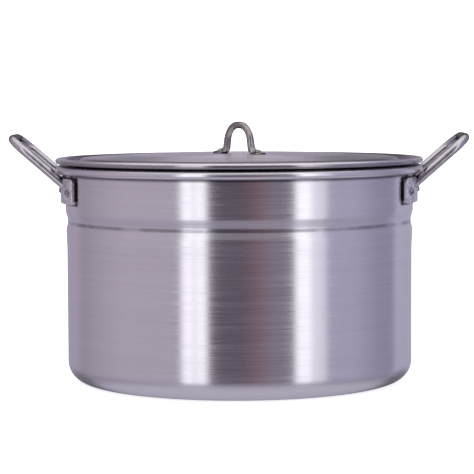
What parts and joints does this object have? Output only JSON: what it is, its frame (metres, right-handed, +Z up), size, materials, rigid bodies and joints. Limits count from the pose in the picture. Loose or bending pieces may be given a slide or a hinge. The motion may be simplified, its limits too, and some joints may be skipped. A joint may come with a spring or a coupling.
{
  "type": "brew kettle",
  "caption": "Wide round aluminium brew kettle with a rolled rim, a pressed groove, two rising rod handles riveted on curved straps, and a lift-off lid with a rod handle.",
  "frame": {"origin": "on the resting plane under the middle of the pot, which is the middle of the object's box", "axes": "+Z up along the pot's axis, +X towards the right handle, the front of the kettle faces -Y"},
  "size_m": [0.53, 0.426, 0.2997],
  "materials": {
    "pot_wall": "lathe-turned satin, fine lines around the wall",
    "lid_sheet": "lathe-turned satin, fine rings",
    "handle_rod": "tumbled rod, softly bright",
    "lid_rod": "tumbled rod, softly bright",
    "handle_strap": "grainy as-cast face, edges rubbed bright",
    "rivet": "cold-headed, softly bright",
    "burr": "stamped sheet"
  },
  "bodies": {
    "pot": {"pot_body": "pot_wall", "left_strap": "handle_strap", "right_strap": "handle_strap", "left_handle": "handle_rod", "right_handle": "handle_rod", "left_front_rivet": "rivet", "left_front_washer": "burr", "left_middle_rivet": "rivet", "left_middle_washer": "burr", "left_rear_rivet": "rivet", "left_rear_washer": "burr", "right_front_rivet": "rivet", "right_front_washer": "burr", "right_middle_rivet": "rivet", "right_middle_washer": "burr", "right_rear_rivet": "rivet", "right_rear_washer": "burr"},
    "lid": {"lid_shell": "lid_sheet", "lid_handle": "lid_rod", "lid_far_rivet": "rivet", "lid_far_washer": "burr", "lid_near_rivet": "rivet", "lid_near_washer": "burr"}
  },
  "joints": [
    {"name": "lid_lift", "type": "slide", "parent": "pot", "child": "lid", "axis": [0, 0, 1], "range_m": [0, 0.35]}
  ]
}
